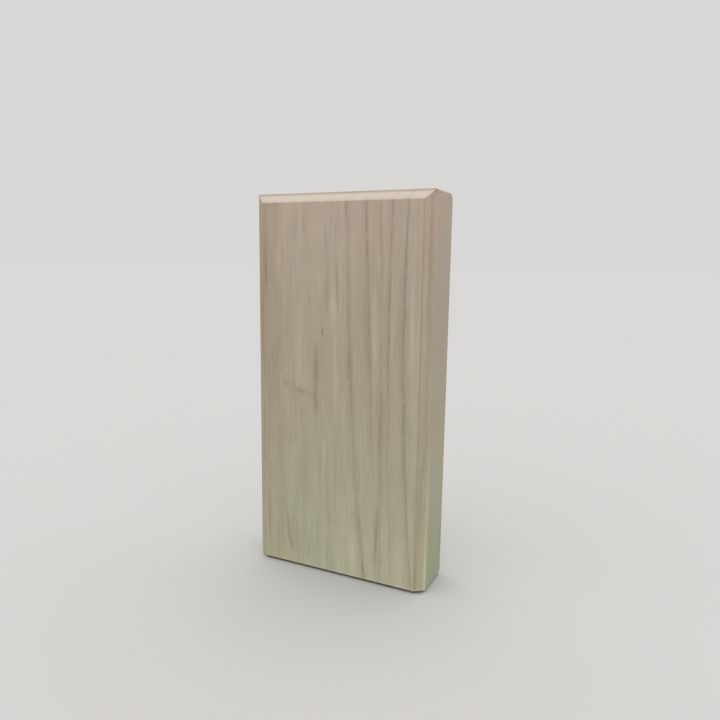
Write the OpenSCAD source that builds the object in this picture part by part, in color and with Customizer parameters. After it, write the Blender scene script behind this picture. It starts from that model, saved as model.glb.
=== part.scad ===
// Wooden photo block: one solid board, bevelled round the picture face, with a keyhole slot
// routed in its back, felt pads under its base and soft wall bumpers low on its back.
// Millimetres. +Z is up and the picture face looks along -Y. The origin lies on the surface that
// the base pads stand on, midway from side to side and from the picture face to the bumpers.

/* [Block] */
// Height of the block, along its grain
block_h = 200; // [120:1:300]
// Width of the block
block_w = 99; // [70:1:200]
// Thickness of the board
block_t = 28; // [26:0.5:45]

/* [Edges] */
// Width of the bevel, measured across the picture face
bevel_face_w = 4.7; // [2:0.1:10]
// Depth of the bevel, measured back along the block's edges
bevel_depth = 3.7; // [2:0.1:5]
// Radius of the rounded back top edge
back_top_r = 4; // [2:0.25:6]
// Radius to which the other edges are sanded
arris_r = 0.8; // [0.3:0.1:1]

/* [Keyhole slot] */
// Diameter of the entry hole that passes the screw head
entry_d = 9.5; // [8:0.5:12]
// Width of the neck that holds the screw's shank
neck_w = 5; // [4:0.25:6]
// Thickness of the wooden lip that the screw head catches behind
lip_t = 4.5; // [3:0.25:6]
// Height of the pocket behind the lip
pocket_t = 5; // [4:0.25:7]
// Travel of the screw from the entry hole up to its seat
slot_travel = 14; // [12:0.5:20]
// Distance from the block's top down to the screw's seat
slot_drop = 30; // [22:1:45]

/* [Base pads] */
// Diameter of a felt pad
pad_d = 8; // [6:0.5:9]
// Thickness of a felt pad
pad_t = 1.2; // [0.8:0.1:2]
// Margin between a pad and the block's flat side, front or back
pad_margin = 3; // [2:0.25:3.5]

/* [Wall bumpers] */
// Diameter of a wall bumper
bumper_d = 9.5; // [7:0.5:12]
// Height of a wall bumper, from its glued face to its crown
bumper_h = 2.4; // [1.8:0.1:3]
// Height of the bumper's straight rim below its dome
bumper_rim_h = 0.6; // [0.4:0.1:1]
// Margin between a bumper and the block's sides and foot
bumper_margin = 7; // [5:0.5:12]

/* [Hidden] */
$fn = 96;

// How far a cutting shape runs past the face that it cuts through
overrun = 1;

// Planes and heights of the block
foot_z = pad_t;
top_z = foot_z + block_h;
side_x = block_w / 2;
front_y = -(block_t + bumper_h) / 2;
back_y = front_y + block_t;

// Keyhole slot: its seat, its entry hole and its full depth from the back face
seat_z = top_z - slot_drop;
entry_z = seat_z - slot_travel;
slot_depth = lip_t + pocket_t;

// Base pads: their centres stand in from the block's flats
pad_inset = pad_margin + pad_d / 2;
pad_x = side_x - pad_inset;
front_pad_y = front_y + pad_inset;
back_pad_y = back_y - pad_inset;

// Wall bumpers: their centres, and the radius of the sphere that the dome is part of
bumper_x = side_x - bumper_margin - bumper_d / 2;
bumper_z = foot_z + bumper_margin + bumper_d / 2;
dome_h = bumper_h - bumper_rim_h;
dome_r = (pow(bumper_d / 2, 2) + pow(dome_h, 2)) / (2 * dome_h);

wood = [0.84, 0.76, 0.65];
felt = [0.42, 0.36, 0.30];
soft_clear = [0.86, 0.87, 0.86];

// Unit vector from one corner towards another
function towards(from, to) = (to - from) / norm(to - from);

// Half of the angle inside a corner, between its two edges
function half_angle(before, at, after) =
    acos(towards(at, before) * towards(at, after)) / 2;

// Where an edge leaves the round of a corner, towards its neighbour
function round_end(at, neighbour, r, half) = at + towards(at, neighbour) * r / tan(half);

// Centre of the round of a corner
function round_centre(before, at, after, r, half) =
    let (inward = towards(at, before) + towards(at, after))
    at + inward / norm(inward) * r / sin(half);

// A convex outline whose corners are each rounded to their own radius
module eased_outline(corners, radii) {
    n = len(corners);
    before = [for (i = [0:n - 1]) corners[(i + n - 1) % n]];
    after = [for (i = [0:n - 1]) corners[(i + 1) % n]];
    half = [for (i = [0:n - 1]) half_angle(before[i], corners[i], after[i])];
    polygon([for (i = [0:n - 1]) each [
        round_end(corners[i], before[i], radii[i], half[i]),
        round_end(corners[i], after[i], radii[i], half[i])
    ]]);
    for (i = [0:n - 1])
        translate(round_centre(before[i], corners[i], after[i], radii[i], half[i]))
            circle(r = radii[i]);
}

// The block seen from above: bevelled at both front corners
module plan_outline() {
    eased_outline(
        [
            [-side_x + bevel_face_w, front_y], [side_x - bevel_face_w, front_y],
            [side_x, front_y + bevel_depth], [side_x, back_y],
            [-side_x, back_y], [-side_x, front_y + bevel_depth]
        ],
        [for (i = [0:5]) arris_r]
    );
}

// The block seen from its side: bevelled at the front of its top, rounded at the back of it
module side_outline() {
    eased_outline(
        [
            [front_y, foot_z], [back_y, foot_z], [back_y, top_z],
            [front_y + bevel_depth, top_z], [front_y, top_z - bevel_face_w]
        ],
        [arris_r, arris_r, back_top_r, arris_r, arris_r]
    );
}

// A hole bored into the block's back, from one depth to another below the back face
module back_bore(d, z, from, to) {
    translate([0, back_y - from, z]) rotate([90, 0, 0]) cylinder(d = d, h = to - from);
}

// A slot routed up the block's back, from the entry hole to the screw's seat
module back_slot(w, from, to) {
    back_bore(w, seat_z, from, to);
    translate([-w / 2, back_y - to, entry_z]) cube([w, to - from, slot_travel]);
}

// The space that a keyhole bit leaves: an entry hole, a narrow neck and a wide pocket behind it
module keyhole_slot() {
    back_bore(entry_d, entry_z, -overrun, slot_depth);
    back_slot(neck_w, -overrun, slot_depth);
    back_slot(entry_d, lip_t, slot_depth);
}

// The two bevelled outlines cross, so the bevels meet in mitres at the top corners
module block() {
    color(wood)
        difference() {
            intersection() {
                translate([0, 0, foot_z]) linear_extrude(block_h) plan_outline();
                rotate([90, 0, 90])
                    linear_extrude(block_w + 2 * overrun, center = true) side_outline();
            }
            keyhole_slot();
        }
}

// A felt disc glued under the base; side is -1 or 1
module base_pad(side, y) {
    color(felt) translate([side * pad_x, y, 0]) cylinder(d = pad_d, h = pad_t);
}

// A soft domed dot glued to the back; side is -1 or 1
module wall_bumper(side) {
    color(soft_clear)
        translate([side * bumper_x, back_y, bumper_z])
            rotate([-90, 0, 0])
                rotate_extrude() {
                    square([bumper_d / 2, bumper_rim_h]);
                    intersection() {
                        translate([0, bumper_h - dome_r]) circle(r = dome_r);
                        translate([0, bumper_rim_h]) square([bumper_d / 2, dome_h]);
                    }
                }
}

module base_pad_front_left() { base_pad(-1, front_pad_y); }
module base_pad_front_right() { base_pad(1, front_pad_y); }
module base_pad_back_left() { base_pad(-1, back_pad_y); }
module base_pad_back_right() { base_pad(1, back_pad_y); }
module wall_bumper_left() { wall_bumper(-1); }
module wall_bumper_right() { wall_bumper(1); }

block();
base_pad_front_left();
base_pad_front_right();
base_pad_back_left();
base_pad_back_right();
wall_bumper_left();
wall_bumper_right();
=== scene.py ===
"""Wooden photo block: one solid board with a bevelled picture face, a keyhole slot in its back,
felt pads under its base and soft wall bumpers low on its back.

Metres. +Z is up and the picture face looks along -Y, as in the frame that is loaded first.
"""

import math
from collections import namedtuple

import bmesh
import bpy
from bpy.props import FloatProperty, FloatVectorProperty, IntProperty, PointerProperty
from mathutils import Matrix, Vector


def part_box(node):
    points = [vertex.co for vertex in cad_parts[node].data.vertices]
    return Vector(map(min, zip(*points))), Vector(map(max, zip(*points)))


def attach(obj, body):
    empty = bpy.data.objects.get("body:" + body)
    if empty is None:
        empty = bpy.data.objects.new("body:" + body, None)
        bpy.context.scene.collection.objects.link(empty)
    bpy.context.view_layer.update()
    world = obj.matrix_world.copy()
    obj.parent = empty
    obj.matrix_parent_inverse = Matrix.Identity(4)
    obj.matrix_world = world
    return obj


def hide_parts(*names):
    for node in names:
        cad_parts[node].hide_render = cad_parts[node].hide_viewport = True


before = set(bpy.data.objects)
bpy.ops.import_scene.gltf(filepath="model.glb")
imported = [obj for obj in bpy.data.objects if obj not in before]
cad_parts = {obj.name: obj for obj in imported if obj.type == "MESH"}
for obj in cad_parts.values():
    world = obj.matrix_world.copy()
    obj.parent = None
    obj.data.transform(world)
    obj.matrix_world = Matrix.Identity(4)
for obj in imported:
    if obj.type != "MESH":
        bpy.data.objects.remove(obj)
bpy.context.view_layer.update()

bl_info = {
    "name": "Wooden Photo Block",
    "version": (1, 0, 0),
    "blender": (4, 5, 0),
    "location": "3D Viewport > Sidebar > Photo Block",
    "description": "Makes a bevelled wooden photo block with its pads, bumpers and studio",
    "category": "Add Mesh",
}

# The block as it was packed, in metres, and in the millimetres that the wood's pattern works in
MM_PER_M = 1000
BLOCK_LOW, BLOCK_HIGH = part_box("block")
LOW_MM, HIGH_MM = BLOCK_LOW * MM_PER_M, BLOCK_HIGH * MM_PER_M

PAD_NODES = (
    "base_pad_front_left",
    "base_pad_front_right",
    "base_pad_back_left",
    "base_pad_back_right",
)
BUMPER_NODES = ("wall_bumper_left", "wall_bumper_right")


# Settings


def number(name, description, default, **kind):
    """A number, whose unit, subtype or precision may be given too."""
    return FloatProperty(name=name, description=description, default=default, **kind)


def metres(name, description, default, precision=5):
    """A length."""
    return number(name, description, default, unit="LENGTH", precision=precision)


def degrees(name, description, default):
    """An angle."""
    return number(name, description, math.radians(default), subtype="ANGLE")


def count(name, description, default):
    """A whole number."""
    return IntProperty(name=name, description=description, default=default)


def rgb(name, description, default):
    """A colour, or a tint that a colour is multiplied by."""
    return FloatVectorProperty(
        name=name, description=description, default=default, subtype="COLOR"
    )


class BlockSettings(bpy.types.PropertyGroup):
    """Sizes of the block that its box doesn't give."""

    bevel_width: metres(
        "Bevel Width", "Width of the bevel, measured across the picture face", 0.0047
    )
    bevel_depth: metres(
        "Bevel Depth", "Depth of the bevel, measured back along the block's edges", 0.0037
    )
    back_top_radius: metres("Back Top Radius", "Radius of the rounded back top edge", 0.004)
    arris_radius: metres("Arris Radius", "Radius to which the long edges are sanded", 0.0008)
    mitre_radius: metres("Mitre Radius", "Radius to which the two bevel mitres are sanded", 0.0003)
    back_top_segments: count("Back Top Segments", "Faces across the rounded back top edge", 14)
    round_segments: count("Round Segments", "Faces across each sanded edge", 6)


class SlotSettings(bpy.types.PropertyGroup):
    """Sizes of the keyhole slot."""

    entry_diameter: metres(
        "Entry Diameter",
        "Diameter of the entry hole, and width of the pocket behind the lip",
        0.0095,
    )
    neck_width: metres("Neck Width", "Width of the neck that holds the screw's shank", 0.005)
    lip: metres("Lip Thickness", "Thickness of the wood that the screw head catches behind", 0.0045)
    depth: metres("Slot Depth", "Full depth of the slot below the back face", 0.0095)
    travel: metres("Slot Travel", "Distance from the entry hole up to the screw's seat", 0.014)
    drop: metres("Slot Drop", "Distance from the block's top down to the screw's seat", 0.03)
    rim_radius: metres("Rim Radius", "Radius to which the slot's rim is sanded", 0.0003)
    arc_steps: count("Arc Steps", "Straight steps in each half circle of the slot", 28)
    rim_segments: count("Rim Segments", "Faces across the slot's rounded rim", 3)


class WoodSettings(bpy.types.PropertyGroup):
    """Colours of the wood and tints on it, some of which paint light and shade, and the place of
    the tree's pith that its rings go round.
    """

    # Painted light: the two colours below are the wood's own, tinted pinkish at the top and
    # greenish at the foot by the light
    upper_colour: rgb(
        "Upper Colour", "Colour of the wood at the top of the block", (0.584, 0.462, 0.365)
    )
    lower_colour: rgb("Lower Colour", "Colour of the wood at its foot", (0.525, 0.512, 0.354))
    ring_colour: rgb(
        "Ring Colour",
        "Colour of the dark line at the end of each year's growth",
        (0.300, 0.222, 0.150),
    )
    end_grain_colour: rgb(
        "End Grain Colour",
        "Colour of the wood where it is cut across its fibres",
        (0.365, 0.300, 0.215),
    )
    warm_tint: rgb("Warm Tint", "Tint of the wood's warmer streaks", (1.0, 0.982, 0.975))
    cool_tint: rgb("Cool Tint", "Tint of the wood's greyer streaks", (0.975, 1.0, 1.0))
    pale_tint: rgb(
        "Pale Streak Tint", "Tint of the pale streaks on the picture face", (0.92, 0.985, 1.0)
    )
    left_tint: rgb(
        "Left Edge Tint",
        "Tint of the wood along the block's left side, which grew nearer the bark",
        (0.960, 0.925, 0.895),
    )
    jamb_tint: rgb(
        "Upright Bevel Tint",
        "Tint that the cutter left on the bevels of the two sides",
        (1.0, 0.965, 0.925),
    )
    slope_tint: rgb(
        "Top Bevel Tint",
        "Tint of the bevel of the top, where the fibres are cut across",
        (0.884, 0.955, 1.0),
    )
    burnished_tint: rgb(
        "Burnished Tint",
        "Tint along the front of the top, where sanding has burnished the fibres' ends",
        (0.626, 0.548, 0.479),
    )
    side_tint: rgb(
        "Side Tint",
        "Tint of the two sides, where the rings are cut along their radius",
        (0.955, 0.970, 0.962),
    )
    # Painted shade: the sides darker and greener towards their foot
    side_foot_tint: rgb(
        "Side Foot Tint", "Further tint of the two sides at their foot", (0.775, 0.855, 0.815)
    )
    side_front_tint: rgb(
        "Side Front Tint", "Further tint of the two sides beside the bevels", (1.0, 0.950, 0.940)
    )
    pith_x: metres("Pith Across", "Place of the pith from side to side", -0.020)
    pith_depth: metres("Pith Depth", "Depth of the pith behind the picture face", 0.034)


class PadSettings(bpy.types.PropertyGroup):
    """Sizes and colour of the felt pads."""

    colour: rgb("Felt Colour", "Colour of the pressed wool felt", (0.150, 0.115, 0.085))
    edge_radius: metres("Edge Radius", "Radius of the pad's worn edges", 0.0003)
    fibre_count: count("Fibres", "Loose wool fibres round one pad's cut edge", 160)
    fibre_length: metres("Fibre Length", "Length of the longest loose fibre", 0.0006)
    fibre_radius: metres("Fibre Radius", "Radius of a loose fibre", 0.00003, precision=6)


class BumperSettings(bpy.types.PropertyGroup):
    """Sizes and colour of the wall bumpers."""

    colour: rgb("Bumper Colour", "Colour of the soft milky plastic", (0.66, 0.64, 0.59))
    rim_height: metres("Rim Height", "Height of the straight rim below the dome", 0.0006)
    edge_radius: metres("Edge Radius", "Radius between the rim and the dome", 0.0003)


class StageSettings(bpy.types.PropertyGroup):
    """The studio: its camera, its floor and its light."""

    camera_place: FloatVectorProperty(
        name="Camera Place",
        description="Where the camera stands",
        subtype="TRANSLATION",
        default=(0.14649, -0.29746, 0.16764),
        precision=5,
    )
    camera_azimuth: degrees(
        "Camera Azimuth",
        "How far the camera stands round to the right of the picture face",
        25.3495,
    )
    camera_elevation: degrees("Camera Elevation", "How far the camera looks down", 8.9653)
    camera_roll: degrees("Camera Roll", "How far the camera is tipped to its left", 0.8105)
    camera_lens: number(
        "Lens", "Focal length on a sensor 36 mm wide, in millimetres", 31.5115, unit="CAMERA"
    )
    floor_radius: metres("Floor Radius", "Radius of the round floor", 20.0)
    backdrop_colour: rgb(
        "Backdrop Colour", "What the camera sees behind the floor", (0.690, 0.682, 0.665)
    )
    floor_colour: rgb(
        "Floor Colour", "Colour of the floor, as the camera sees it", (0.450, 0.445, 0.434)
    )
    floor_bounce: number(
        "Floor Bounce",
        "Share of the light that the floor throws back up at the block",
        0.22,
        subtype="FACTOR",
    )
    horizon_light: number("Horizon Light", "Strength of the light from the horizon", 0.60)
    left_light: number(
        "Left Light",
        "How much stronger the light from the left is, and weaker that from the right",
        0.10,
        subtype="FACTOR",
    )
    overhead_light: number(
        "Overhead Light", "What is added to that straight above the block", 2.00
    )


class PhotoBlockSettings(bpy.types.PropertyGroup):
    """Everything that a user would change."""

    block: PointerProperty(type=BlockSettings)
    slot: PointerProperty(type=SlotSettings)
    wood: PointerProperty(type=WoodSettings)
    pad: PointerProperty(type=PadSettings)
    bumper: PointerProperty(type=BumperSettings)
    stage: PointerProperty(type=StageSettings)


# Node helpers


class Value:
    """What a node gives out. On numbers the usual signs work, and each adds a Math node."""

    def __init__(self, node, output=0):
        self.node = node
        self.tree = node.id_data
        self.socket = node.outputs[output] if node.outputs else None

    def __getitem__(self, output):
        """What another output of the same node gives, by its name or number."""
        return Value(self.node, output)

    def __add__(self, other):
        return maths("ADD", self, other)

    def __radd__(self, other):
        return maths("ADD", other, self)

    def __sub__(self, other):
        return maths("SUBTRACT", self, other)

    def __rsub__(self, other):
        return maths("SUBTRACT", other, self)

    def __mul__(self, other):
        return maths("MULTIPLY", self, other)

    def __rmul__(self, other):
        return maths("MULTIPLY", other, self)

    def __truediv__(self, other):
        return maths("DIVIDE", self, other)

    def __abs__(self):
        return maths("ABSOLUTE", self)


def join(value, socket):
    """Links what a node gives out to a socket, or sets the socket to a plain value."""
    if isinstance(value, Value):
        value.tree.links.new(value.socket, socket)
    else:
        socket.default_value = value


def put(tree, kind, inputs=None, **settings):
    """Adds a node with its settings, and fills its inputs by name or number."""
    node = tree.nodes.new(kind)
    for name, value in settings.items():
        setattr(node, name, value)
    for name, value in (inputs or {}).items():
        join(value, node.inputs[name])
    return Value(node)


def tree_of(*values):
    """The tree of the first node that any of the values comes from."""
    return next(value.tree for value in values if isinstance(value, Value))


def maths(operation, *values, clamp=False):
    """A Math node on one, two or three values."""
    settings = {"operation": operation, "use_clamp": clamp}
    return put(tree_of(*values), "ShaderNodeMath", dict(enumerate(values)), **settings)


def vector_maths(operation, *values, output="Vector", **named):
    """A Vector Math node."""
    inputs = {**dict(enumerate(values)), **named}
    tree = tree_of(*inputs.values())
    return put(tree, "ShaderNodeVectorMath", inputs, operation=operation)[output]


def scaled(vector, factor):
    """A vector or a colour times a number."""
    return vector_maths("SCALE", vector, Scale=factor)


def apart(vector):
    """The three parts of a vector."""
    parts = put(vector.tree, "ShaderNodeSeparateXYZ", {"Vector": vector})
    return [parts[axis] for axis in "XYZ"]


def together(x, y, z):
    """A vector made of three values."""
    return put(tree_of(x, y, z), "ShaderNodeCombineXYZ", {"X": x, "Y": y, "Z": z})


def spread(value, start, end, low=0.0, high=1.0, kind="SMOOTHSTEP"):
    """Maps a value from start..end to low..high, and holds it there beyond both ends."""
    inputs = {"Value": value, "From Min": start, "From Max": end, "To Min": low, "To Max": high}
    return put(value.tree, "ShaderNodeMapRange", inputs, interpolation_type=kind)


def ramp(value, start, end, low=0.0, high=1.0):
    """Maps a value as spread does, but in a straight line."""
    return spread(value, start, end, low, high, "LINEAR")


def blended(share, first, second, kind="MIX"):
    """Mixes the second colour into the first."""
    tree = tree_of(share, first, second)
    inputs = {0: share, 6: first, 7: second}
    return put(tree, "ShaderNodeMix", inputs, data_type="RGBA", blend_type=kind)[2]


def tinted(colour, tint, share=1.0):
    """A colour multiplied by a tint, as far as the share says."""
    return blended(share, colour, tint, "MULTIPLY")


def solid(colour):
    """A colour with its alpha."""
    return (*colour, 1.0)


def noise(place, period, detail=0.0, shift=(0, 0, 0)):
    """Smooth noise from 0 to 1 whose bumps measure period along each axis, in place's unit."""
    moved = vector_maths("ADD", place, shift)
    inputs = {"Vector": vector_maths("DIVIDE", moved, period), "Scale": 1.0, "Detail": detail}
    return put(place.tree, "ShaderNodeTexNoise", inputs)["Fac"]


def group_tree(name, kind, inputs, output):
    """A node group: its tree, what each of its inputs gives, and the socket for its output."""
    tree = bpy.data.node_groups.new(name, kind)
    for title, socket in inputs.items():
        tree.interface.new_socket(title, in_out="INPUT", socket_type=f"NodeSocket{socket}")
    tree.interface.new_socket(output, in_out="OUTPUT", socket_type=f"NodeSocket{output}")
    start = put(tree, "NodeGroupInput")
    end = put(tree, "NodeGroupOutput")
    return tree, [start[title] for title in inputs], end.node.inputs[0]


def sum_over(name, formula, rows):
    """Adds up what a formula gives for each row of named inputs, through one node group."""
    inputs = dict.fromkeys(rows[0], "Float")
    group, given, result = group_tree(name, "ShaderNodeTree", inputs, "Float")
    join(formula(**dict(zip(inputs, given))), result)
    tree = tree_of(*rows[0].values())
    return sum(put(tree, "ShaderNodeGroup", row, node_tree=group) for row in rows)


def new_material(name):
    """A material that is still empty, and its tree."""
    material = bpy.data.materials.new(name)
    material.use_nodes = True
    material.node_tree.nodes.clear()
    return material, material.node_tree


def object_place(tree):
    """The point that is being shaded, in millimetres."""
    return scaled(put(tree, "ShaderNodeTexCoord")["Object"], MM_PER_M)


def finish_surface(colour, roughness, relief, strength, depth, **more):
    """Ends a material in one shader, whose relief stands depth high, in metres."""
    tree = colour.tree
    bump = {"Height": relief, "Strength": strength, "Distance": depth}
    inputs = {
        "Base Color": colour,
        "Roughness": roughness,
        "Normal": put(tree, "ShaderNodeBump", bump),
        **{name.replace("_", " "): value for name, value in more.items()},
    }
    shader = put(tree, "ShaderNodeBsdfPrincipled", inputs)
    put(tree, "ShaderNodeOutputMaterial", {"Surface": shader})


# Mesh helpers


def piece_from(name, body, material):
    """A shown object made of a bmesh, at the origin, with smooth faces."""
    mesh = bpy.data.meshes.new(name)
    body.to_mesh(mesh)
    body.free()
    mesh.materials.append(material)
    mesh.shade_smooth()
    piece = bpy.data.objects.new(name, mesh)
    bpy.context.scene.collection.objects.link(piece)
    return piece


def settle(piece):
    """Makes a piece's shape with its modifiers its own mesh, and takes the modifiers off."""
    bpy.context.view_layer.update()
    shaped = piece.evaluated_get(bpy.context.evaluated_depsgraph_get())
    mesh = bpy.data.meshes.new_from_object(shaped)
    mesh.name = piece.name
    piece.modifiers.clear()
    piece.data = mesh


def revolve(body, profile, steps, place):
    """Turns a profile of (radius, height) points, both ends on the axis, into a closed shell."""
    bottom = body.verts.new((0, 0, profile[0][1]))
    top = body.verts.new((0, 0, profile[-1][1]))
    turns = [math.tau * i / steps for i in range(steps)]
    rings = [
        [body.verts.new((radius * math.cos(t), radius * math.sin(t), height)) for t in turns]
        for radius, height in profile[1:-1]
    ]
    for i in range(steps):
        after = (i + 1) % steps
        body.faces.new((bottom, rings[0][after], rings[0][i]))
        for low, high in zip(rings, rings[1:]):
            body.faces.new((low[i], low[after], high[after], high[i]))
        body.faces.new((rings[-1][i], rings[-1][after], top))
    bmesh.ops.transform(body, matrix=place, verts=body.verts)
    bmesh.ops.recalc_face_normals(body, faces=body.faces)


def arc(centre, radius, start, end, steps):
    """Points on an arc in a plane, both ends included; the angles are in degrees."""
    turns = [math.radians(start + (end - start) * i / steps) for i in range(steps + 1)]
    return [(centre[0] + radius * math.cos(t), centre[1] + radius * math.sin(t)) for t in turns]


# The wood

# A year's growth line. Its radius from the pith at the block's top, middle and foot and the
# half width of its dark core are in millimetres. How dark it is at the top and at the foot runs
# from 0 to 1.
Ring = namedtuple("Ring", "top middle foot half_width dark_above dark_below")
RINGS = (
    Ring(11.0, 11.5, 12.0, 0.6, 0.5, 0.5),
    Ring(17.0, 17.5, 18.0, 0.6, 0.5, 0.5),
    Ring(23.0, 23.5, 24.0, 0.6, 0.4, 0.4),
    Ring(29.0, 29.5, 30.0, 0.6, 0.4, 0.4),
    Ring(41.7, 44.0, 50.5, 0.9, 0.45, 0.85),
    Ring(48.5, 51.8, 55.1, 0.7, 0.70, 0.10),
    Ring(54.4, 56.1, 57.2, 0.6, 0.35, 0.45),
    Ring(59.6, 59.4, 62.5, 0.6, 0.75, 0.35),
    Ring(66.1, 66.4, 71.8, 0.6, 0.80, 0.70),
    Ring(74.3, 75.1, 73.6, 0.45, 0.53, 0.42),
)

# How wide the soft shoulder inside a growth line is, in millimetres, and how dark beside its core
SHOULDER_WIDTH = 2.6
SHOULDER_SHARE = 0.35

# How far the pith wanders along the block, and how far the lines ripple, in millimetres
PITH_WANDER = 0.8
LINE_RIPPLE = 0.35

# A mark on the picture face, in millimetres from the face's middle and from the block's foot:
# where it lies, how many degrees its upper end leans to the right, half its length and width, and
# how dark it is. A pale streak has a darkness below 0.
Mark = namedtuple("Mark", "x z lean half_length half_width darkness")
MARKS = (
    Mark(-8.9, 130.3, -6, 2.3, 0.60, 1.30),
    Mark(-6.3, 127.9, -72, 2.2, 0.45, 0.50),
    Mark(-12.4, 111.0, 0, 11.0, 1.20, 0.70),
    Mark(-12.3, 103.0, 0, 17.0, 2.00, 0.50),
    Mark(-12.5, 92.5, -4, 4.0, 1.00, 0.65),
    Mark(-30.9, 101.5, -70, 2.8, 1.70, 0.65),
    Mark(-21.8, 98.1, -77, 5.0, 1.60, 0.65),
    Mark(-15.2, 95.9, -80, 2.2, 0.90, 0.20),
    Mark(-29.7, 23.4, -3, 6.0, 1.20, 0.75),
    Mark(-28.3, 12.8, -12, 6.0, 1.30, 0.80),
    Mark(-26.0, 18.0, -8, 10.0, 3.00, 0.38),
    Mark(-16.5, 10.3, 5, 5.0, 0.60, 0.40),
    Mark(-43.0, 160.0, -1, 13.0, 0.60, 1.00),
    Mark(-41.9, 22.0, -1, 11.0, 0.55, 0.90),
    Mark(-20.0, 184.0, 0, 6.0, 0.90, 0.40),
    Mark(3.9, 191.0, -8, 4.0, 0.60, 0.70),
    Mark(-6.1, 148.5, 0, 9.0, 1.10, 0.65),
    Mark(-0.6, 155.0, -3, 15.0, 0.65, 0.75),
    Mark(6.0, 114.0, 0, 9.0, 1.80, 0.40),
    Mark(16.6, 121.0, -6, 14.0, 1.00, 0.35),
    Mark(13.0, 56.5, -4, 8.0, 0.80, 0.40),
    Mark(19.6, 79.0, -2, 9.0, 0.60, 0.30),
    Mark(24.4, 74.0, 0, 12.0, 0.60, 0.35),
    Mark(23.3, 24.0, 1, 16.0, 1.00, 1.00),
    Mark(-3.5, 32.0, 0, 6.0, 0.60, 0.40),
    Mark(-2.0, 118.0, -1, 30.0, 1.40, -0.55),
    Mark(-2.9, 142.0, -1, 8.0, 1.50, -0.45),
    Mark(20.4, 131.0, -3, 17.0, 1.30, -0.60),
    Mark(40.5, 125.0, -2, 45.0, 1.50, -0.50),
    Mark(-35.4, 166.0, 0, 13.0, 1.40, -0.50),
    Mark(9.5, 15.0, 0, 12.0, 2.00, -0.40),
    Mark(15.0, 58.0, 0, 16.0, 9.00, -0.17),
    Mark(-9.0, 122.0, 0, 14.0, 11.00, 0.18),
    Mark(-22.0, 10.0, 0, 9.0, 7.00, 0.18),
)

# Where things come in: nothing at the first value, and all at the second. By a part of the
# direction that a point faces: the sides and the ends of the board, the bevels as they turn from
# the picture face and towards the sides, and the top's among them.
SIDE_FACING = (0.80, 0.97)
END_FACING = (0.80, 0.95)
BEVEL_FROM_FACE = (-0.97, -0.88)
BEVEL_TO_SIDE = (-0.45, -0.65)
SLOPE_FACING = (0.3, 0.5)

# By the height, from 0 at the foot to 1 at the top: what a growth line has at the top, the painted
# light and shade that the wood has at its foot, the painted shade that only its two sides have
# there, and the painted highlight on the outer edges
LINE_TOP = (0.1, 0.7)
FOOT_LIGHT_AND_SHADE = (0.25, 0.0)
SIDE_FOOT_SHADE = (0.30, 0.02)
OUTER_HIGHLIGHT_HEIGHT = (0.50, 0.20)

# In millimetres: across the block, to its right half, to the right of its foot where painted light
# brightens it, and to its left edge; from its sides inwards; behind the bevels; and below the
# picture face
RIGHT_HALF = (-1.0, 1.0)
FOOT_RIGHT = (-10.0, 15.0)
LEFT_EDGE = (-27.0, -36.0)
IN_FROM_SIDE = (0.5, 2.0)
BEHIND_BEVEL = (6.0, 2.0)
BELOW_FACE = (3.0, 1.0)

# Round the keyhole slot: below the back face and out from the slot's outline in millimetres, and
# below the back face in depths of the slot
SLOT_BELOW_BACK = (0.1, 0.5)
SLOT_OUTWARDS = (1.0, 0.5)
SLOT_DEPTHS = (2.0, 1.2)

# How far a full growth line or mark, and the burn of the router, take the wood towards the ring
# colour, and how far the cut ends of its fibres take it towards the end grain's
LINE_SHARE = 0.55
BURN_SHARE = 0.5
END_GRAIN_SHARE = 0.75

# How much calmer the grain is than on the picture face
SIDE_CALM = 0.75
SLOPE_CALM = 0.65

# How much brighter than plain the wood is on pale streaks and on the sides beside the bevels, with
# a painted shade half way up the block and a painted light at the right of its foot; darker below 0
PALE_GAIN = 0.25
MIDWAY_PAINTED_SHADE = -0.44
RIGHT_FOOT_PAINTED_LIGHT = 0.065
SIDE_FRONT_GAIN = 0.055

# The painted light on the bevel of the top, and the painted highlight that its crest adds, with the
# crest's place below the block's top and its half width in millimetres
SLOPE_PAINTED_LIGHT = 0.03
CREST_PAINTED_HIGHLIGHT = 0.125
CREST_DROP = 2.0
CREST_HALF_WIDTH = 2.0

# Painted shade on the left bevel, and painted light on the right one: how much it gains from foot
# to top, what is added all along, and the painted shade taken off at its foot
LEFT_BEVEL_PAINTED_SHADE = -0.09
RIGHT_BEVEL_LIGHT_RISE = 0.16
RIGHT_BEVEL_PAINTED_LIGHT = -0.05
RIGHT_BEVEL_FOOT_SHADE = 0.04

# Bands along the edges, how far each reaches in millimetres and by how much: a painted shade along
# the inner edges of the bevels, a painted highlight along their outer edges, stronger at the foot
# than at the top, the burnished front of the top, and a painted light along the foot.
INNER_REACH = 0.35
INNER_PAINTED_SHADE = 0.20
OUTER_REACH = 1.1
OUTER_HIGHLIGHT_TOP = 0.01
OUTER_HIGHLIGHT_FOOT = 0.20
CREST_REACH = 1.3
FOOT_REACH = 1.1
FOOT_PAINTED_LIGHT = 0.22

# How dark the pores are, how much darker where they are cut across, and how deep they and the
# growth lines lie beside the silk of the sanded wood
PORE_DARKNESS = 0.12
END_PORE_DARKNESS = 0.15
PORE_DEPTH = 0.6
LINE_DEPTH = 0.3

# A point of the wood: its place and each part of it in millimetres, how far up the block it is
# from 0 to 1, and each part of the direction that its surface faces
Spot = namedtuple("Spot", "place x y z height facing_x facing_y facing_z")

# How much a point belongs to each kind of face, from 0 to 1: the two sides, what of them lies
# beside the bevels, the bevel of the top, the bevels of the sides, and the ends of the board
Faces = namedtuple("Faces", "side side_front slope jamb end")


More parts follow.
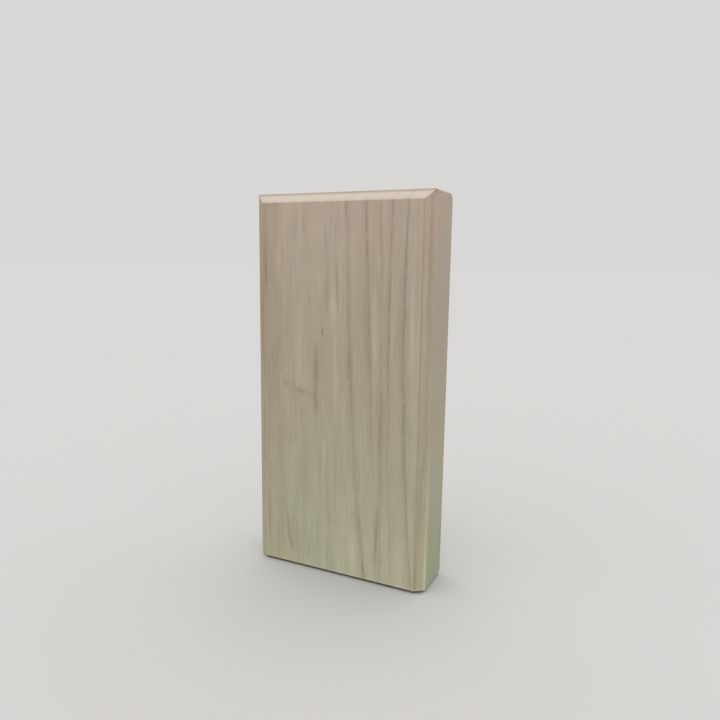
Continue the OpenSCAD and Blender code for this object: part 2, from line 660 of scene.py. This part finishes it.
def wood_spot(tree):
    """The point of the wood that is being shaded."""
    place = object_place(tree)
    x, y, z = apart(place)
    height = ramp(z, LOW_MM.z, HIGH_MM.z)
    facing = apart(put(tree, "ShaderNodeTexCoord")["Normal"])
    return Spot(place, x, y, z, height, *facing)


def shoulder_y(block):
    """How far back the bevels end, in millimetres."""
    return LOW_MM.y + block.bevel_depth * MM_PER_M


def face_shares(spot, block):
    """How much a point belongs to each kind of face, by the way it faces and where it lies."""
    side = spread(abs(spot.facing_x), *SIDE_FACING)
    side_front = side * spread(spot.y - shoulder_y(block), *BEHIND_BEVEL)
    bevel = spread(spot.facing_y, *BEVEL_FROM_FACE) * spread(spot.facing_y, *BEVEL_TO_SIDE)
    slope = bevel * spread(spot.facing_z, *SLOPE_FACING)
    jamb = bevel - slope
    end = spread(abs(spot.facing_z), *END_FACING)
    return Faces(side, side_front, slope, jamb, end)


def bell(value, half_width):
    """A bell curve: 1 where the value is 0, and about a third at half_width to either side."""
    share = value / half_width
    return maths("EXPONENT", share * share * -1.0)


def plane_distance(across, along):
    """Distance from the origin of a plane."""
    return vector_maths("LENGTH", together(across, along, 0.0), output="Value")


def grain(spot, across, along, low, high, band=(0.25, 0.75), detail=1.0, shift=(0, 0, 0)):
    """Goes from low to high in soft patches, which are so large across and along the fibres."""
    return ramp(noise(spot.place, (across, across, along), detail, shift), *band, low, high)


def swing(spot, across, along, strength, **more):
    """Goes as far below 0 as above it, in soft patches as those of grain."""
    return grain(spot, across, along, -strength, strength, **more)


def pith_distance(spot, wood):
    """Distance of a point from the pith, which runs up behind the board and wanders a little."""
    wander = swing(spot, 45, 130, PITH_WANDER, band=(0.2, 0.8))
    ripple = swing(spot, 9, 35, LINE_RIPPLE, band=(0.2, 0.8), shift=(31, 7, 3))
    aside = spot.x - wood.pith_x * MM_PER_M
    behind = spot.y - (LOW_MM.y + wood.pith_depth * MM_PER_M)
    return plane_distance(aside, behind) + wander + ripple


def growth_line(distance, height, top, middle, foot, half_width, dark_above, dark_below):
    """A year's growth line: a thin dark core, with a soft shoulder on the side of the pith."""
    depth = 1.0 - height
    bow = height * depth * 2.0
    radius = (middle * 2.0 - top - foot) * bow + (top * height + foot * depth)
    past = distance - radius
    shoulder = bell(past, SHOULDER_WIDTH) * maths("LESS_THAN", past, 0.0)
    line = shoulder * SHOULDER_SHARE + bell(past, half_width)
    return line * spread(height, *LINE_TOP, dark_below, dark_above)


def ring_darkness(spot, distance):
    """How dark the growth lines are at a point, from 0 to 1."""
    rows = [{"distance": distance, "height": spot.height, **ring._asdict()} for ring in RINGS]
    patches = grain(spot, 7, 28, 0.55, 1.10, (0.30, 0.60), detail=2.0, shift=(5, 11, 17))
    dashes = grain(spot, 0.6, 4, 0.60, 1.30, (0.30, 0.70), shift=(2, 3, 5))
    return sum_over("Growth Line", growth_line, rows) * (patches * dashes)


def face_mark(across, up, x, z, lean, half_length, half_width, darkness):
    """A long soft mark, at a point across and up the picture face."""
    lean = lean * math.radians(1)
    along_x, along_z = maths("SINE", lean), maths("COSINE", lean)
    aside, above = across - x, up - z
    along = aside * along_x + above * along_z
    beside = aside * along_z - above * along_x
    return bell(along, half_length) * bell(beside, half_width) * darkness


def mark_darkness(spot):
    """How dark the marks are that lie on the picture face; below 0 on the pale streaks."""
    up = spot.z - LOW_MM.z
    rows = [{"across": spot.x, "up": up, **mark._asdict()} for mark in MARKS]
    return sum_over("Face Mark", face_mark, rows) * spread(spot.y - LOW_MM.y, *BELOW_FACE)


def fibre_shade(spot):
    """How much brighter or darker than the plain wood its bands, streaks and fibres are."""
    broad = swing(spot, 7, 90, 0.05)
    bands = swing(spot, 2.2, 40, 0.05, shift=(3, 1, 9))
    clouds = swing(spot, 8, 14, 0.035, detail=2.0, shift=(2, 7, 4))
    streaks = swing(spot, 1, 20, 0.05, shift=(8, 6, 2))
    fibres = swing(spot, 0.45, 8, 0.045, shift=(1, 5, 7))
    coming = grain(spot, 5, 22, 0.3, 1.3, (0.35, 0.65), shift=(9, 2, 5))
    return (streaks + fibres) * coming + (broad + bands + clouds)


def grain_and_painted_light(spot, faces, calm, pale):
    """How bright a point of the wood is; 1 is plain. Its grain and pale streaks, with painted shade
    half way up, painted light at the right of its foot, and painted light and shade on its bevels.
    """
    # Painted shade: the wood darker half way up the block
    midway_shade = spot.height * (1.0 - spot.height)
    foot = spread(spot.height, *FOOT_LIGHT_AND_SHADE)
    # Painted light: the foot brighter towards its right
    right_foot_light = foot * spread(spot.x, *FOOT_RIGHT)
    # Painted highlight along the crest of the top's bevel
    crest = bell(spot.z - (HIGH_MM.z - CREST_DROP), CREST_HALF_WIDTH)
    # Painted light on the right bevel, rising towards the top and weaker at the foot, and painted
    # shade on the left one
    right_bevel_light = spot.height * RIGHT_BEVEL_LIGHT_RISE + RIGHT_BEVEL_PAINTED_LIGHT - foot * RIGHT_BEVEL_FOOT_SHADE
    right_bevel_light = right_bevel_light * spread(HIGH_MM.x - abs(spot.x), *IN_FROM_SIDE)
    bevels = spread(spot.x, *RIGHT_HALF, LEFT_BEVEL_PAINTED_SHADE, right_bevel_light)
    shade = fibre_shade(spot) * calm + 1.0
    for share, gain in (
        (midway_shade, MIDWAY_PAINTED_SHADE),
        (right_foot_light, RIGHT_FOOT_PAINTED_LIGHT),
        (pale, PALE_GAIN),
        (faces.slope, crest * CREST_PAINTED_HIGHLIGHT + SLOPE_PAINTED_LIGHT),
        (faces.jamb, bevels),
        (faces.side_front, SIDE_FRONT_GAIN),
    ):
        shade = shade + share * gain
    return shade


def wood_colour(spot, wood, faces, pale):
    """The plain wood's colour, with the tints of its faces and streaks and its end grain. The drift
    from its foot to its top and the darker foot of its sides are painted light and shade.
    """
    # The wood's colour, with a painted tint of light: greenish at the foot and pinkish at the top
    colour = blended(spot.height, solid(wood.lower_colour), solid(wood.upper_colour))
    warmth = grain(spot, 5, 60, 0.0, 1.0, (0.35, 0.65), shift=(6, 2, 8))
    colour = tinted(colour, blended(warmth, solid(wood.cool_tint), solid(wood.warm_tint)))
    for share, tint in (
        (faces.jamb, wood.jamb_tint),
        (faces.slope, wood.slope_tint),
        (faces.side, wood.side_tint),
        # Painted shade: the sides darker and greener at their foot
        (faces.side * spread(spot.height, *SIDE_FOOT_SHADE), wood.side_foot_tint),
        (faces.side_front, wood.side_front_tint),
        (pale, wood.pale_tint),
        (spread(spot.x, *LEFT_EDGE) * (1.0 - faces.slope), wood.left_tint),
    ):
        colour = tinted(colour, solid(tint), share)
    return blended(faces.end * END_GRAIN_SHARE, colour, solid(wood.end_grain_colour))


def edge_band(across, back, edge_across, edge_back, reach):
    """A soft band along one of the block's edges, and along its twin on the other side."""
    return bell(plane_distance(abs(across) - edge_across, back - edge_back), reach)


def edge_wear_and_light(colour, spot, settings):
    """A colour burnished along the front of the top, with painted shade along the inner edges of
    the bevels and painted highlights along their outer edges and the foot.
    """
    block = settings.block
    shoulder = shoulder_y(block)
    face_x = HIGH_MM.x - block.bevel_width * MM_PER_M
    # Painted shade along the inner edges of the bevels
    inner_shade = edge_band(spot.x, spot.y, face_x, LOW_MM.y, INNER_REACH)
    outer = edge_band(spot.x, spot.y, HIGH_MM.x, shoulder, OUTER_REACH)
    crest = edge_band(spot.z, spot.y, HIGH_MM.z, shoulder, CREST_REACH)
    # Painted light: a brighter band along the foot
    foot = bell(spot.z - LOW_MM.z, FOOT_REACH)
    # Painted highlight along the outer edges of the right bevel, stronger at the foot
    worn = spread(spot.height, *OUTER_HIGHLIGHT_HEIGHT, OUTER_HIGHLIGHT_TOP, OUTER_HIGHLIGHT_FOOT)
    worn = worn * spread(spot.x, *RIGHT_HALF)
    colour = tinted(colour, solid(settings.wood.burnished_tint), crest)
    return scaled(colour, 1.0 - inner_shade * INNER_PAINTED_SHADE + outer * worn + foot * FOOT_PAINTED_LIGHT)


def slot_share(spot, slot):
    """1 on the routed walls of the keyhole slot, and 0 elsewhere."""
    reach = slot.entry_diameter / 2 * MM_PER_M
    seat = HIGH_MM.z - slot.drop * MM_PER_M
    entry = seat - slot.travel * MM_PER_M
    below = HIGH_MM.y - spot.y
    shares = (
        spread(below, *SLOT_BELOW_BACK),
        spread(below / (slot.depth * MM_PER_M), *SLOT_DEPTHS),
        spread(abs(spot.x) - reach, *SLOT_OUTWARDS),
        spread(entry - reach - spot.z, *SLOT_OUTWARDS),
        spread(spot.z - (seat + reach), *SLOT_OUTWARDS),
    )
    return math.prod(shares)


def wood_material(settings):
    """Bare, fine-sanded pale wood: rings round a pith, fibres, pores, marks, a burnished top edge,
    and painted light and shade on its faces and edges.
    """
    wood = settings.wood
    material, tree = new_material("Pale Sanded Wood")
    spot = wood_spot(tree)
    faces = face_shares(spot, settings.block)
    calm = 1.0 - faces.side * SIDE_CALM - faces.slope * SLOPE_CALM
    rings = ring_darkness(spot, pith_distance(spot, wood)) * calm
    marks = mark_darkness(spot)
    dark = rings + maths("MAXIMUM", marks, 0.0)
    dark = maths("MULTIPLY", dark, LINE_SHARE, clamp=True)
    pale = maths("MULTIPLY", maths("MINIMUM", marks, 0.0), -1.0, clamp=True)
    burnt = slot_share(spot, settings.slot) * BURN_SHARE
    pores = spread(noise(spot.place, (0.22, 0.22, 2.6), shift=(1.0, 4.0, 6.0)), 0.66, 0.76)
    silk = noise(spot.place, (0.8, 0.8, 20.0), 1.0, shift=(4.0, 4.0, 1.0))

    colour = wood_colour(spot, wood, faces, pale)
    colour = scaled(colour, grain_and_painted_light(spot, faces, calm, pale))
    colour = blended(dark, colour, solid(wood.ring_colour))
    colour = edge_wear_and_light(colour, spot, settings)
    colour = blended(burnt, colour, solid(wood.ring_colour))
    colour = scaled(colour, 1.0 - pores * (faces.end * END_PORE_DARKNESS + PORE_DARKNESS))
    roughness = ramp(silk, 0.3, 0.7, 0.58, 0.72)
    relief = silk - pores * PORE_DEPTH - rings * LINE_DEPTH
    finish_surface(colour, roughness, relief, 0.5, 0.00008, Specular_IOR_Level=0.3)
    return material


# The block

# A face of a bevel looks forwards by a part of its direction that lies between these
BEVEL_FORWARDS = (-0.99, -0.1)

# Faces that meet at less than this are one flat face
FLAT_TURN = math.radians(1)

# An edge that turns less than this is part of the rounded back top
ROUNDED_TURN = math.radians(20)

# An edge of the slot that turns more than this is on its rim
RIM_TURN = math.radians(60)

# Faces that meet at more than this keep a crisp edge between them
CRISP_TURN = math.radians(35)


def board_body(low, high, block):
    """The board before its edges are sanded: three bevels in front, and a rounded back top."""
    shoulder = low.y + block.bevel_depth
    face_x = high.x - block.bevel_width
    face_top = high.z - block.bevel_width
    radius = block.back_top_radius
    back_top = arc((high.y - radius, high.z - radius), radius, 0, 90, block.back_top_segments)
    outline = [(shoulder, low.z), (high.y, low.z), *back_top, (shoulder, high.z)]
    corners = []
    for side in (-1, 1):
        corners += [(side * face_x, low.y, low.z), (side * face_x, low.y, face_top)]
        corners += [(side * high.x, y, z) for y, z in outline]
    body = bmesh.new()
    bmesh.ops.convex_hull(body, input=[body.verts.new(corner) for corner in corners])
    bmesh.ops.dissolve_limit(body, angle_limit=FLAT_TURN, verts=body.verts, edges=body.edges)
    bmesh.ops.recalc_face_normals(body, faces=body.faces)
    return body


def slot_cutter(slot, back_y, top_z):
    """The space that a keyhole bit leaves: an entry hole, a neck, and a pocket behind the lip."""
    radius, half_neck = slot.entry_diameter / 2, slot.neck_width / 2
    seat = (0, top_z - slot.drop)
    entry = (0, seat[1] - slot.travel)
    meet = math.degrees(math.acos(half_neck / radius))
    steps = slot.arc_steps
    shared = arc(entry, radius, 180, 360, steps)
    neck = (
        arc(entry, radius, 0, meet, steps // 3)[1:]
        + arc(seat, half_neck, 0, 180, steps)
        + arc(entry, radius, 180 - meet, 180, steps // 3)[:-1]
    )
    pocket = arc(seat, radius, 0, 180, steps)
    outside, lip, floor = back_y + slot.lip, back_y - slot.lip, back_y - slot.depth

    body = bmesh.new()

    def ring(points, y):
        return [body.verts.new((x, y, z)) for x, z in points]

    def wall(first, second):
        for i in range(len(first)):
            after = (i + 1) % len(first)
            body.faces.new((first[i], first[after], second[after], second[i]))

    mouth = ring(shared + neck, outside)
    shared_lip, neck_lip, pocket_lip = ring(shared, lip), ring(neck, lip), ring(pocket, lip)
    pocket_floor = ring(shared + pocket, floor)
    body.faces.new(mouth)
    wall(mouth, shared_lip + neck_lip)
    body.faces.new([shared_lip[0]] + neck_lip[::-1] + [shared_lip[-1]] + pocket_lip)
    wall(shared_lip + pocket_lip, pocket_floor)
    body.faces.new(pocket_floor)
    bmesh.ops.recalc_face_normals(body, faces=body.faces)
    return body


def cut_slot(piece, slot):
    """Cuts the keyhole slot into the block's back."""
    body = slot_cutter(slot, BLOCK_HIGH.y, BLOCK_HIGH.z)
    cutter = piece_from("keyhole_cutter", body, piece.data.materials[0])
    cut = piece.modifiers.new("Keyhole Slot", "BOOLEAN")
    cut.operation = "DIFFERENCE"
    cut.solver = "EXACT"
    cut.object = cutter
    settle(piece)
    bpy.data.objects.remove(cutter)


def arris_radius(edge, block):
    """The radius that one of the board's own edges is sanded to, or 0 on its rounded back top."""
    if edge.calc_face_angle(0.0) < ROUNDED_TURN:
        return 0.0
    most, least = BEVEL_FORWARDS
    bevelled = [most < face.normal.y < least for face in edge.link_faces]
    return block.mitre_radius if all(bevelled) else block.arris_radius


def rim_radius(edge, slot):
    """The radius that the slot's rim is sanded to, or 0 away from it."""
    ends = [corner.co for corner in edge.verts]
    on_back = all(end.y > BLOCK_HIGH.y - slot.rim_radius for end in ends)
    in_reach = all(abs(end.x) < slot.entry_diameter for end in ends)
    sharp = edge.calc_face_angle(0.0) > RIM_TURN
    return slot.rim_radius if on_back and in_reach and sharp else 0.0


def sand_edges(piece, segments, radius_of):
    """Rounds each edge of a piece to the radius that radius_of gives for it."""
    body = bmesh.new()
    body.from_mesh(piece.data)
    weight = body.edges.layers.float.get("bevel_weight_edge")
    weight = weight or body.edges.layers.float.new("bevel_weight_edge")
    turns = {edge: math.tan(edge.calc_face_angle(0.0) / 2) for edge in body.edges}
    reach = {edge: radius_of(edge) * turn for edge, turn in turns.items()}
    widest = max(reach.values())
    for edge, width in reach.items():
        edge[weight] = width / widest
    body.to_mesh(piece.data)
    body.free()
    ease = piece.modifiers.new("Sanded Edges", "BEVEL")
    ease.limit_method = "WEIGHT"
    ease.offset_type = "OFFSET"
    ease.width = widest
    ease.segments = segments
    ease.use_clamp_overlap = False
    settle(piece)


def make_block(settings):
    """The board: bevelled, slotted and sanded."""
    block, slot = settings.block, settings.slot
    body = board_body(BLOCK_LOW, BLOCK_HIGH, block)
    piece = piece_from("wood_block", body, wood_material(settings))
    sand_edges(piece, block.round_segments, lambda edge: arris_radius(edge, block))
    cut_slot(piece, slot)
    sand_edges(piece, slot.rim_segments, lambda edge: rim_radius(edge, slot))
    piece.data.shade_smooth()
    piece.data.set_sharp_from_angle(angle=CRISP_TURN)
    even = piece.modifiers.new("Even Normals", "WEIGHTED_NORMAL")
    even.keep_sharp = True
    settle(piece)
    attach(piece, "root")
    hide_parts("block")


# The felt pads

# Straight steps round a pad, and in the section of each of its worn edges
PAD_STEPS = 72
PAD_EDGE_STEPS = 5

# Fibres grow where a pad's surface faces up or down by less than this
EDGE_FACING_UP = 0.1

# A loose fibre: its straight steps and its sides, how far its middle bows as a share of its
# length, how far it leans in radians, and the length of the shortest as a share of the longest
FIBRE_STEPS = 3
FIBRE_SIDES = 3
FIBRE_BOW = 0.06
FIBRE_LEAN = 0.06
SHORTEST_FIBRE = 0.3


def felt_material(pad):
    """Pressed wool felt: matted fibres, with paler and darker hairs in it."""
    material, tree = new_material("Pressed Wool Felt")
    place = object_place(tree)
    curl = put(tree, "ShaderNodeTexNoise", {"Vector": place, "Scale": 1.3, "Detail": 2.0})
    matted = vector_maths("ADD", place, curl["Color"])
    hairs = noise(matted, (0.9, 0.12, 0.2), 2.0)
    crossed = noise(matted, (0.12, 0.9, 0.2), 2.0, shift=(4.0, 9.0, 2.0))
    fuzz = maths("MAXIMUM", hairs, crossed)
    colour = scaled(tuple(pad.colour), ramp(fuzz, 0.4, 0.75, 0.65, 1.45))
    roughness = ramp(fuzz, 0.4, 0.75, 0.98, 0.85)
    finish_surface(colour, roughness, fuzz, 0.8, 0.0002, Sheen_Weight=0.35, Sheen_Roughness=0.5)
    return material


def fringe_tree():
    """Geometry nodes that grow loose curved fibres from a pad's cut edge."""
    inputs = {
        "Geometry": "Geometry",
        "Fibre Density": "Float",
        "Fibre Length": "Float",
        "Fibre Radius": "Float",
        "Seed": "Int",
        "Material": "Material",
    }
    tree, given, result = group_tree("Felt Fringe", "GeometryNodeTree", inputs, "Geometry")
    pad, density, length, radius, seed, material = given

    facing_up = apart(put(tree, "GeometryNodeInputNormal"))[2]
    on_edge = maths("LESS_THAN", abs(facing_up), EDGE_FACING_UP)
    roots = {"Mesh": pad, "Selection": on_edge, "Density": density, "Seed": seed}
    points = put(tree, "GeometryNodeDistributePointsOnFaces", roots)

    bend = {
        "Resolution": FIBRE_STEPS,
        "Start": (0.0, 0.0, 0.0),
        "Middle": together(length * FIBRE_BOW, 0.0, length * 0.5),
        "End": together(0.0, 0.0, length),
    }
    strand = put(tree, "GeometryNodeCurveQuadraticBezier", bend)
    circle = {"Resolution": FIBRE_SIDES, "Radius": radius}
    section = put(tree, "GeometryNodeCurvePrimitiveCircle", circle)
    skin = {"Curve": strand, "Profile Curve": section, "Fill Caps": True}
    fibre = put(tree, "GeometryNodeCurveToMesh", skin)

    lean = (FIBRE_LEAN, FIBRE_LEAN, math.pi)
    leans = {0: [-most for most in lean], 1: lean, "Seed": seed}
    tilt = put(tree, "FunctionNodeRandomValue", leans, data_type="FLOAT_VECTOR")
    turn = {0: points["Rotation"], 1: tilt}
    turned = put(tree, "FunctionNodeRotateEuler", turn, rotation_type="EULER", space="LOCAL")
    lengths = {2: SHORTEST_FIBRE, 3: 1.0, "Seed": seed}
    size = put(tree, "FunctionNodeRandomValue", lengths, data_type="FLOAT")[1]
    growth = {
        "Points": points["Points"],
        "Instance": fibre,
        "Rotation": turned,
        "Scale": together(1.0, 1.0, size),
    }
    fringe = put(tree, "GeometryNodeInstanceOnPoints", growth)
    real = put(tree, "GeometryNodeRealizeInstances", {"Geometry": fringe})
    both = put(tree, "GeometryNodeJoinGeometry")
    join(real, both.node.inputs[0])
    join(pad, both.node.inputs[0])
    join(put(tree, "GeometryNodeSetMaterial", {"Geometry": both, "Material": material}), result)
    return tree


def set_inputs(modifier, values):
    """Sets a node modifier's named inputs by the identifiers of their sockets."""
    for item in modifier.node_group.interface.items_tree:
        if item.in_out == "INPUT" and item.name in values:
            modifier[item.identifier] = values[item.name]


def pad_profile(radius, thickness, edge):
    """Half of a pad's section: flat above and below, with worn edges."""
    reach = radius - edge
    lower = arc((reach, edge), edge, -90, 0, PAD_EDGE_STEPS)
    upper = arc((reach, thickness - edge), edge, 0, 90, PAD_EDGE_STEPS)
    return [(0, 0), (radius / 2, 0), *lower, *upper, (radius / 2, thickness), (0, thickness)]


def make_pads(settings):
    """The four felt pads, each with a fringe of its own."""
    pad = settings.pad
    felt = felt_material(pad)
    tree = fringe_tree()
    for seed, node in enumerate(PAD_NODES):
        low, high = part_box(node)
        radius, thickness = (high.x - low.x) / 2, high.z - low.z
        centre = Matrix.Translation(((low.x + high.x) / 2, (low.y + high.y) / 2, low.z))
        body = bmesh.new()
        revolve(body, pad_profile(radius, thickness, pad.edge_radius), PAD_STEPS, centre)
        piece = piece_from(f"felt_{node}", body, felt)
        fringe = piece.modifiers.new("Fringe", "NODES")
        fringe.node_group = tree
        values = {
            "Fibre Density": pad.fibre_count / (math.tau * radius * thickness),
            "Fibre Length": pad.fibre_length,
            "Fibre Radius": pad.fibre_radius,
            "Seed": seed,
            "Material": felt,
        }
        set_inputs(fringe, values)
        settle(piece)
        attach(piece, "root")
        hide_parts(node)


# The wall bumpers

# Straight steps round a bumper, and in the section of its dome
BUMPER_STEPS = 64
DOME_STEPS = 14

# How much darker and how much rougher dust makes the plastic
DUST_DARKNESS = 0.12
DUST_ROUGHNESS = 0.25


def bumper_material(bumper):
    """Soft milky plastic with a satin skin and a little dust on it."""
    material, tree = new_material("Milky Soft Plastic")
    place = object_place(tree)
    cloud = noise(place, (3.0, 3.0, 3.0), 3.0)
    dust = spread(noise(place, (0.25, 0.25, 0.25), 1.0), 0.62, 0.72)
    colour = scaled(tuple(bumper.colour), ramp(cloud, 0.3, 0.7, 0.93, 1.05))
    colour = scaled(colour, 1.0 - dust * DUST_DARKNESS)
    roughness = spread(cloud, 0.3, 0.7, 0.28, 0.42) + dust * DUST_ROUGHNESS
    finish_surface(colour, roughness, cloud, 0.3, 0.00005, Transmission_Weight=0.35, IOR=1.5)
    return material


def bumper_profile(radius, height, rim, edge):
    """Half of a bumper's section: a flat glued face, a straight rim and a dome."""
    rise = height - rim
    dome_radius = (radius**2 + rise**2) / (2 * rise)
    half = math.degrees(math.asin(radius / dome_radius))
    dome = arc((0, height - dome_radius), dome_radius, 90 - half, 90, DOME_STEPS)
    foot = [(0, 0), (radius - edge / 2, 0), (radius, edge / 2), (radius, rim - edge / 3)]
    softened = [(radius - edge / 3, rim + edge / 3)]
    return foot + softened + dome[1:-1] + [(0, height)]


def make_bumpers(settings):
    """The two soft domes that keep the block off a wall."""
    bumper = settings.bumper
    plastic = bumper_material(bumper)
    for node in BUMPER_NODES:
        low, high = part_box(node)
        radius, height = (high.x - low.x) / 2, high.y - low.y
        profile = bumper_profile(radius, height, bumper.rim_height, bumper.edge_radius)
        centre = Matrix.Translation(((low.x + high.x) / 2, low.y, (low.z + high.z) / 2))
        body = bmesh.new()
        revolve(body, profile, BUMPER_STEPS, centre @ Matrix.Rotation(math.radians(-90), 4, "X"))
        piece = piece_from(f"soft_{node}", body, plastic)
        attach(piece, "root")
        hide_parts(node)


# The studio


def seen_directly(tree):
    """1 for rays that show a background: from the camera, off gloss or through something clear."""
    path = put(tree, "ShaderNodeLightPath")
    seen = maths("MAXIMUM", path["Is Camera Ray"], path["Is Glossy Ray"])
    return maths("MAXIMUM", seen, path["Is Transmission Ray"])


def shown_and_thrown(tree, shown, thrown):
    """A shader that looks like one of its two, and throws the light of the other."""
    return put(tree, "ShaderNodeMixShader", {"Fac": seen_directly(tree), 1: thrown, 2: shown})


def floor_material(stage):
    """A matt pale floor that throws little light back at the block."""
    material, tree = new_material("Pale Floor")
    pale = put(tree, "ShaderNodeBsdfDiffuse", {"Color": solid(stage.floor_colour)})
    dim = put(tree, "ShaderNodeBsdfDiffuse", {"Color": solid([stage.floor_bounce] * 3)})
    put(tree, "ShaderNodeOutputMaterial", {"Surface": shown_and_thrown(tree, pale, dim)})
    return material


def make_floor(stage):
    """A round floor, level with the undersides of the pads."""
    body = bmesh.new()
    bmesh.ops.create_circle(body, cap_ends=True, segments=96, radius=stage.floor_radius)
    piece_from("studio_floor", body, floor_material(stage))


def make_light(stage):
    """A soft sky that is strongest straight above, with a pale backdrop for the camera."""
    world = bpy.data.worlds.new("Studio")
    world.use_nodes = True
    tree = world.node_tree
    tree.nodes.clear()
    x, _, z = apart(put(tree, "ShaderNodeTexCoord")["Generated"])
    overhead = maths("MAXIMUM", z, 0.0) * stage.overhead_light
    strength = (overhead + stage.horizon_light) * (1.0 - x * stage.left_light)
    sky = put(tree, "ShaderNodeBackground", {"Strength": strength})
    backdrop = put(tree, "ShaderNodeBackground", {"Color": solid(stage.backdrop_colour)})
    put(tree, "ShaderNodeOutputWorld", {"Surface": shown_and_thrown(tree, backdrop, sky)})
    bpy.context.scene.world = world


def make_camera(stage):
    """The camera, at the height, distance and angle from which the block is seen."""
    data = bpy.data.cameras.new("Camera")
    data.sensor_width = 36.0
    data.lens = stage.camera_lens
    data.clip_start = 0.01
    data.clip_end = 100.0
    azimuth, elevation = stage.camera_azimuth, stage.camera_elevation
    level = math.cos(elevation)
    ahead = Vector((-math.sin(azimuth) * level, math.cos(azimuth) * level, -math.sin(elevation)))
    camera = bpy.data.objects.new("Camera", data)
    camera.matrix_world = (
        Matrix.Translation(Vector(stage.camera_place))
        @ ahead.to_track_quat("-Z", "Y").to_matrix().to_4x4()
        @ Matrix.Rotation(stage.camera_roll, 4, "Z")
    )
    bpy.context.scene.collection.objects.link(camera)
    bpy.context.scene.camera = camera


# Operators and panel


class PHOTOBLOCK_OT_make_block(bpy.types.Operator):
    """Make the bevelled, slotted and sanded wooden board"""

    bl_idname = "photo_block.make_block"
    bl_label = "Make Block"

    def execute(self, context):
        make_block(context.scene.photo_block)
        return {"FINISHED"}


class PHOTOBLOCK_OT_make_pads(bpy.types.Operator):
    """Make the four felt pads under the block's base"""

    bl_idname = "photo_block.make_pads"
    bl_label = "Make Base Pads"

    def execute(self, context):
        make_pads(context.scene.photo_block)
        return {"FINISHED"}


class PHOTOBLOCK_OT_make_bumpers(bpy.types.Operator):
    """Make the two soft wall bumpers low on the block's back"""

    bl_idname = "photo_block.make_bumpers"
    bl_label = "Make Wall Bumpers"

    def execute(self, context):
        make_bumpers(context.scene.photo_block)
        return {"FINISHED"}


class PHOTOBLOCK_OT_make_stage(bpy.types.Operator):
    """Make the pale floor, the soft light and the camera"""

    bl_idname = "photo_block.make_stage"
    bl_label = "Make Stage"

    def execute(self, context):
        stage = context.scene.photo_block.stage
        context.scene.view_settings.view_transform = "Standard"
        make_floor(stage)
        make_light(stage)
        make_camera(stage)
        return {"FINISHED"}


class PHOTOBLOCK_PT_panel(bpy.types.Panel):
    """Lists the pieces of the photo block and their settings"""

    bl_idname = "PHOTOBLOCK_PT_panel"
    bl_label = "Photo Block"
    bl_space_type = "VIEW_3D"
    bl_region_type = "UI"
    bl_category = "Photo Block"

    def draw(self, context):
        settings = context.scene.photo_block
        rows = (
            (PHOTOBLOCK_OT_make_block, (settings.block, settings.slot, settings.wood)),
            (PHOTOBLOCK_OT_make_pads, (settings.pad,)),
            (PHOTOBLOCK_OT_make_bumpers, (settings.bumper,)),
            (PHOTOBLOCK_OT_make_stage, (settings.stage,)),
        )
        for operator, groups in rows:
            box = self.layout.box()
            for group in groups:
                for name in group.__annotations__:
                    box.prop(group, name)
            box.operator(operator.bl_idname)


CLASSES = (
    BlockSettings,
    SlotSettings,
    WoodSettings,
    PadSettings,
    BumperSettings,
    StageSettings,
    PhotoBlockSettings,
    PHOTOBLOCK_OT_make_block,
    PHOTOBLOCK_OT_make_pads,
    PHOTOBLOCK_OT_make_bumpers,
    PHOTOBLOCK_OT_make_stage,
    PHOTOBLOCK_PT_panel,
)


def register():
    """Registers the classes, and hangs the settings on the scene."""
    for one in CLASSES:
        bpy.utils.register_class(one)
    bpy.types.Scene.photo_block = PointerProperty(type=PhotoBlockSettings)


def unregister():
    """Takes away what register added."""
    del bpy.types.Scene.photo_block
    for one in reversed(CLASSES):
        bpy.utils.unregister_class(one)


def main():
    """Makes the whole photo block and its studio."""
    register()
    bpy.ops.photo_block.make_stage()
    bpy.ops.photo_block.make_block()
    bpy.ops.photo_block.make_pads()
    bpy.ops.photo_block.make_bumpers()


if __name__ == "__main__":
    main()
